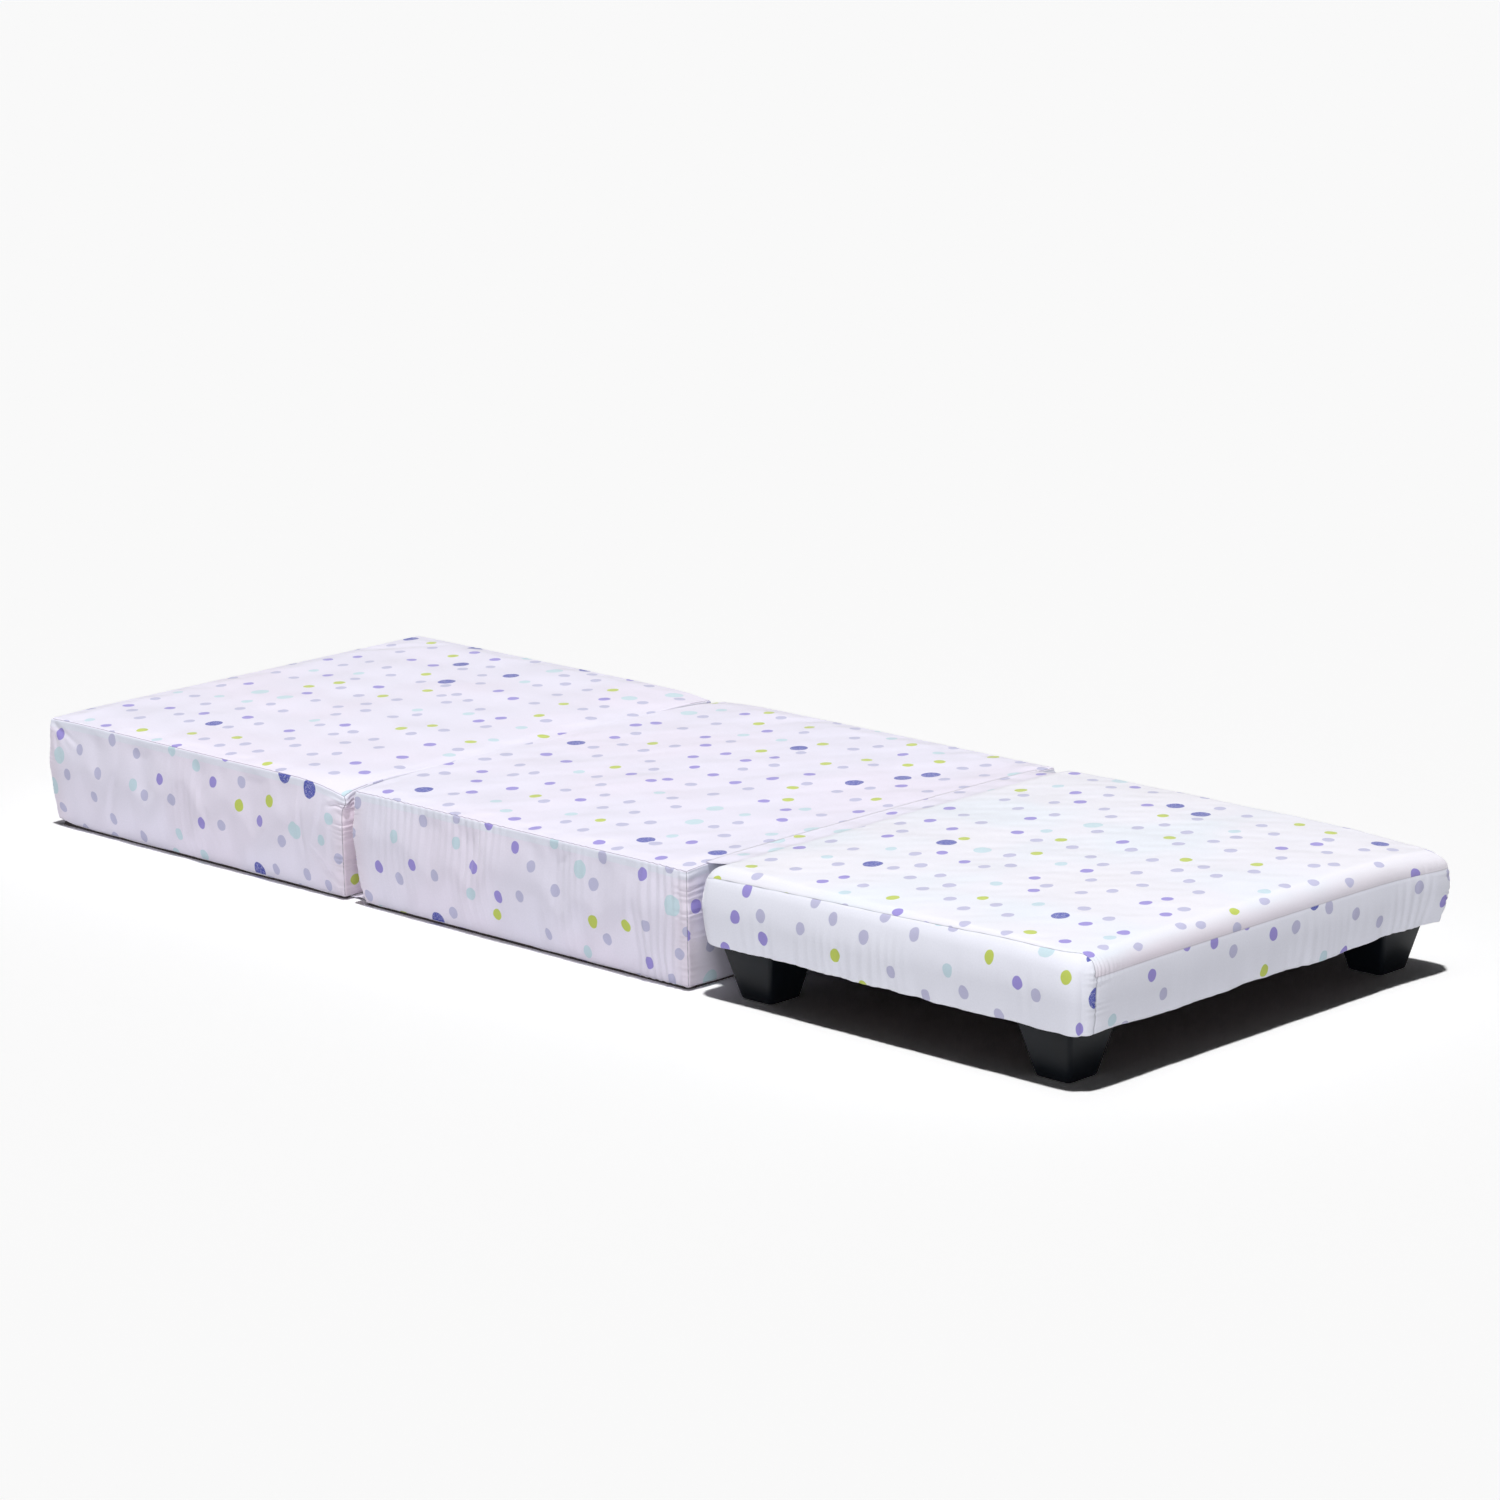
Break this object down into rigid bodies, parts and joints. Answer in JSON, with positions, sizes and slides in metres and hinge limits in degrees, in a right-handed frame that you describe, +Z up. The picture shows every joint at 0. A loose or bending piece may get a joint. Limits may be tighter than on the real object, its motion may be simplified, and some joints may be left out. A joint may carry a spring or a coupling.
{
  "type": "pouf bed",
  "caption": "Low fold-out single bed: a padded base on black tapered legs with box cushions hinged to it in a row, all in dotted cotton covers.",
  "frame": {"origin": "on the floor under the middle of the unfolded bed", "axes": "+X runs along the bed from the head cushion to the padded base, +Y from the front long side to the back one, +Z up"},
  "size_m": [1.9207, 0.708, 0.1691],
  "materials": {
    "printed_cotton": "white to pale lilac plain-weave cotton printed with dots",
    "dark_cloth": "charcoal non-slip cloth",
    "foam": "open-cell polyurethane foam",
    "black_plastic": "satin black moulded plastic",
    "zip_nylon": "pale nylon coil zip",
    "pine": "planed pine",
    "plywood": "unfinished plywood",
    "zinc": "zinc-plated steel"
  },
  "bodies": {
    "base": {"pad_cover": "printed_cotton", "pad_foam": "foam", "deck_board": "plywood", "rail_front": "pine", "rail_back": "pine", "rail_hinge_end": "pine", "rail_centre": "pine", "rail_free_end": "pine", "corner_block_front_hinge": "pine", "corner_block_front_free": "pine", "corner_block_back_hinge": "pine", "corner_block_back_free": "pine", "dust_cover": "dark_cloth", "leg_front_hinge": "black_plastic", "leg_front_free": "black_plastic", "leg_back_hinge": "black_plastic", "leg_back_free": "black_plastic", "leg_stud_front_hinge": "zinc", "leg_stud_front_free": "zinc", "leg_stud_back_hinge": "zinc", "leg_stud_back_free": "zinc", "tee_nut_front_hinge": "zinc", "tee_nut_front_free": "zinc", "tee_nut_back_hinge": "zinc", "tee_nut_back_free": "zinc", "frame_screw_front_hinge_end": "zinc", "frame_screw_front_centre": "zinc", "frame_screw_front_free_end": "zinc", "frame_screw_back_hinge_end": "zinc", "frame_screw_back_centre": "zinc", "frame_screw_back_free_end": "zinc", "deck_screw_front_hinge": "zinc", "deck_screw_front_free": "zinc", "deck_screw_back_hinge": "zinc", "deck_screw_back_free": "zinc", "upper_flap_base": "printed_cotton"},
    "middle": {"middle_cover": "printed_cotton", "middle_foam": "foam", "middle_underside": "dark_cloth", "middle_zip": "zip_nylon", "middle_zip_slider": "zinc", "upper_flap_middle": "printed_cotton", "lower_flap_middle": "printed_cotton"},
    "head": {"head_cover": "printed_cotton", "head_foam": "foam", "head_underside": "dark_cloth", "head_zip": "zip_nylon", "head_zip_slider": "zinc", "lower_flap_head": "printed_cotton"}
  },
  "joints": [
    {"name": "middle_fold", "type": "hinge", "parent": "base", "child": "middle", "pos_m": [0.324, 0, 0.16615], "axis": [0, 1, 0], "range_deg": [0, 180]},
    {"name": "head_fold", "type": "hinge", "parent": "middle", "child": "head", "pos_m": [-0.3225, 0, -0.00015], "axis": [0, -1, 0], "range_deg": [0, 180]}
  ]
}
